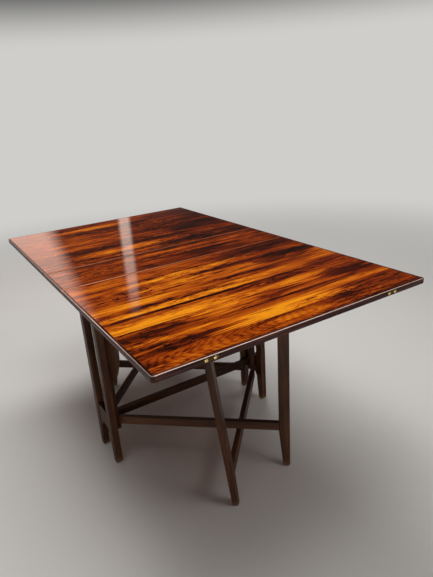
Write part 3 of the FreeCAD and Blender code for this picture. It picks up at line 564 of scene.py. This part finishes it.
def screws(name, body, points, facing, sizes, seed):
    """Screw heads at the points, made one mesh that moves with a body."""
    seat = bpy.data.meshes.new(name + "_places")
    seat.from_pydata(points, [], [])
    source = bpy.data.objects.new(name + "_source", seat)
    bpy.context.scene.collection.objects.link(source)
    maker = source.modifiers.new("heads", "NODES")
    maker.node_group = heads
    for label, value in sizes.items():
        maker[socket_of[label]] = value
    maker[socket_of["Facing"]] = facing
    maker[socket_of["Turn Seed"]] = seed
    maker[socket_of["Finish"]] = screw_brass
    evaluated = source.evaluated_get(bpy.context.evaluated_depsgraph_get())
    mesh = bpy.data.meshes.new_from_object(evaluated)
    mesh.name = name
    bpy.data.objects.remove(source)
    made = bpy.data.objects.new(name, mesh)
    bpy.context.scene.collection.objects.link(made)
    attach(made, body)


HINGE_LENGTH = 50 * MM
INNER_HINGE = 150 * MM
FLAP_THICKNESS = 2 * MM
HINGE_SCREWS = {"Head Diameter": 6.5 * MM, "Dome Height": 0.7 * MM,
                "Slot Width": 0.9 * MM, "Slot Depth": 0.5 * MM}
# Three screws along a flap, the middle one further from the pin
STAGGER = [(-16 * MM, 9 * MM), (0, 17 * MM), (16 * MM, 9 * MM)]
PLATE_LENGTH = 40 * MM
PLATE_SCREWS = {"Head Diameter": 9 * MM, "Dome Height": 1.8 * MM,
                "Slot Width": 1.1 * MM, "Slot Depth": 0.9 * MM}
PLATE_SPACING = 23 * MM
FACING_DOWN = (pi, 0, 0)
flap_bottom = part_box("centre_panel")[0].z - FLAP_THICKNESS
for seed, (side, out) in enumerate((("near", -1), ("far", 1)), start=1):
    low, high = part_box(side + "_hinge_pins")
    pin_y = (low.y + high.y) / 2
    outer_hinge = high.x - HINGE_LENGTH / 2
    for part, body, way in (("frame", "frame", -out), ("leaf", side + "_leaf", out)):
        spots = []
        for hinge_x in (-outer_hinge, -INNER_HINGE, INNER_HINGE, outer_hinge):
            for aside, reach in STAGGER:
                spots.append((hinge_x + aside, pin_y + way * reach, flap_bottom))
        screws(f"{side}_{part}_hinge_screws", body, spots, FACING_DOWN, HINGE_SCREWS, seed)
    low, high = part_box(side + "_edge_plates")
    face = low.y if out < 0 else high.y
    middle = (low.z + high.z) / 2
    plate_x = high.x - PLATE_LENGTH / 2
    spots = [(end * plate_x + step * PLATE_SPACING / 2, face, middle) for end in (-1, 1) for step in (-1, 1)]
    facing_out = (-out * pi / 2, 0, 0)
    screws(side + "_edge_plate_screws", side + "_leaf", spots, facing_out, PLATE_SCREWS, seed + 2)

# Floor: a wide plain pale sheet that the table stands on.
# Matt paint, with a faint cloudiness so that it isn't one flat colour.
# Far from the table it takes the colour of the backdrop, so that no edge shows between them.

FLOOR = "#DAD8D4"
FLOOR_SHADE = "#CFCDC9"
BACKDROP = "#CFCECB"
FLOOR_REACH = 60.0
FLOOR_CLOUD = 1.4286
FADE_FROM = 1.6
FADE_TO = 5.0
floor_paint, tree, output, place = new_material("matt_floor_paint")
cloud = add(tree, "ShaderNodeTexNoise", {"Vector": place, "Scale": 1 / FLOOR_CLOUD, "Detail": 2}).outputs[0]
colour = add(tree, "ShaderNodeMix", {0: cloud, 6: linear(FLOOR), 7: linear(FLOOR_SHADE)},
             data_type="RGBA").outputs[2]
paint = add(tree, "ShaderNodeBsdfPrincipled", {"Base Color": colour, "Roughness": 0.9})
far_off = add(tree, "ShaderNodeVectorMath", {0: place}, operation="LENGTH").outputs["Value"]
fade = add(tree, "ShaderNodeMapRange", {0: far_off, 1: FADE_FROM, 2: FADE_TO},
           interpolation_type="SMOOTHSTEP").outputs[0]
glow = add(tree, "ShaderNodeEmission", {"Color": linear(BACKDROP)})
rays = add(tree, "ShaderNodeLightPath").outputs
seen = rays["Is Camera Ray"]
for kind in ("Is Glossy Ray", "Is Transmission Ray"):
    seen = add(tree, "ShaderNodeMath", {0: seen, 1: rays[kind]}, operation="MAXIMUM").outputs[0]
fade = add(tree, "ShaderNodeMath", {0: fade, 1: seen}, operation="MULTIPLY").outputs[0]
blend = add(tree, "ShaderNodeMixShader", {0: fade, 1: paint.outputs[0], 2: glow.outputs[0]})
tree.links.new(blend.outputs[0], output.inputs[0])
sheet = bpy.data.meshes.new("floor")
corners = [(-1, -1), (1, -1), (1, 1), (-1, 1)]
sheet.from_pydata([(FLOOR_REACH * x, FLOOR_REACH * y, cad_box[0].z) for x, y in corners], [], [(0, 1, 2, 3)])
floor = bpy.data.objects.new("floor", sheet)
floor.data.materials.append(floor_paint)
bpy.context.scene.collection.objects.link(floor)

# Light: soft boxes behind, overhead and in front, and a long low fill in front, below the plane of the top.
# A narrow strip and a tall panel beyond the far leaf are what the gloss of the top mirrors to the camera.
# The backdrop is pale near the horizon and dark from 12 degrees up, so that the lacquer keeps its depth.

# The backdrop's tones by degrees above the horizon
SKY = [(0, BACKDROP), (5.739, BACKDROP), (12.415, "#323231"), (36.87, "#262625"), (90, "#767574")]
world = bpy.data.worlds.new("studio")
bpy.context.scene.world = world
world.use_nodes = True
tree = world.node_tree
tree.nodes.clear()
output = add(tree, "ShaderNodeOutputWorld")
direction = add(tree, "ShaderNodeTexCoord").outputs["Generated"]
height = add(tree, "ShaderNodeSeparateXYZ", {0: direction}).outputs[2]
sky = add(tree, "ShaderNodeValToRGB", {0: height}, [(sin(radians(angle)), shade) for angle, shade in SKY])
sky.color_ramp.interpolation = "EASE"
background = add(tree, "ShaderNodeBackground", {"Color": sky.outputs[0], "Strength": 1.0})
tree.links.new(background.outputs[0], output.inputs[0])


def soft_box(name, place, aim, width, height, radiance, fade=0.25, tint="#FFFFFF", lean=0):
    """An area lamp that points at a place and fades to its edges, and that the camera doesn't see."""
    lamp = bpy.data.lights.new(name, "AREA")
    lamp.shape = "RECTANGLE"
    lamp.size = width
    lamp.size_y = height
    lamp.energy = radiance * pi * width * height
    lamp.color = linear(tint)[:3]
    lamp.use_nodes = True
    tree = lamp.node_tree
    tree.nodes.clear()
    strength = 1.0
    spot = add(tree, "ShaderNodeNewGeometry").outputs["Parametric"]
    for way in add(tree, "ShaderNodeSeparateXYZ", {0: spot}).outputs[:2]:
        offset = add(tree, "ShaderNodeMath", {0: way, 1: 0.5}, operation="SUBTRACT").outputs[0]
        offset = add(tree, "ShaderNodeMath", {0: offset}, operation="ABSOLUTE").outputs[0]
        inner = add(tree, "ShaderNodeMapRange", {0: offset, 1: 0.5, 2: 0.5 - fade},
                    interpolation_type="SMOOTHSTEP").outputs[0]
        strength = add(tree, "ShaderNodeMath", {0: inner, 1: strength}, operation="MULTIPLY").outputs[0]
    glow = add(tree, "ShaderNodeEmission", {"Strength": strength})
    add(tree, "ShaderNodeOutputLight", {0: glow.outputs[0]})
    holder = bpy.data.objects.new(name, lamp)
    holder.location = place
    facing = (Vector(aim) - Vector(place)).to_track_quat("-Z", "Y")
    holder.rotation_euler = (facing @ Quaternion((0, 0, 1), lean)).to_euler()
    holder.visible_camera = False
    bpy.context.scene.collection.objects.link(holder)


soft_box("rear_box", place=(0.4, 1.7, 4.0), aim=(0, 0, 0.6), width=3.6, height=1.7, radiance=9.6)
soft_box("overhead_box", place=(-0.6, -0.5, 3.4), aim=(0, 0, 0.4), width=2.0, height=2.0, radiance=4.1)
soft_box("front_box", place=(1.4, -2.1, 3.0), aim=(0, 0, 0.5), width=1.8, height=1.8, radiance=3.7)
soft_box("front_fill", place=(-3.0, -5.1, 0.38), aim=(0, 0, 0.38), width=7.0, height=0.66, radiance=7.5,
         fade=0.1)
strip_place = Vector((1.02, 3.12, 1.45))
soft_box("tall_strip", strip_place, aim=strip_place + Vector((-0.3, -1, 0)), width=0.15, height=2.0,
         radiance=1.25, fade=0.3, tint="#FFEDE0")
panel_place = Vector((0.12, 3.6, 1.95))
soft_box("pale_panel", panel_place, aim=panel_place + Vector((0, -1, 0)), width=1.0, height=2.4,
         radiance=1.75, fade=0.2, tint="#FFD0BE", lean=radians(14))

# Camera: stands beyond the near leaf's left corner, a little above the top, and looks down across it.
# The image is 433 by 577 pixels, and the lens is given by its focal length in those pixels.

IMAGE_HEIGHT = 577
FOCAL_PIXELS = 488.0
SENSOR = 36.0
camera_place = Vector((-0.7653, -1.5619, 1.2422))
heading = radians(58.811)
pitch = radians(20.983)
roll = radians(-3.844)
forward = Vector((cos(pitch) * cos(heading), cos(pitch) * sin(heading), -sin(pitch)))
level = Vector((sin(heading), -cos(heading), 0))
upward = level.cross(forward)
right = cos(roll) * level + sin(roll) * upward
upward = right.cross(forward)
lens = bpy.data.cameras.new("camera")
lens.sensor_width = SENSOR
lens.lens = FOCAL_PIXELS * SENSOR / IMAGE_HEIGHT
camera = bpy.data.objects.new("camera", lens)
camera.matrix_world = Matrix((right, upward, -forward)).transposed().to_4x4()
camera.location = camera_place
bpy.context.scene.collection.objects.link(camera)
bpy.context.scene.camera = camera
bpy.context.scene.view_settings.view_transform = "Standard"
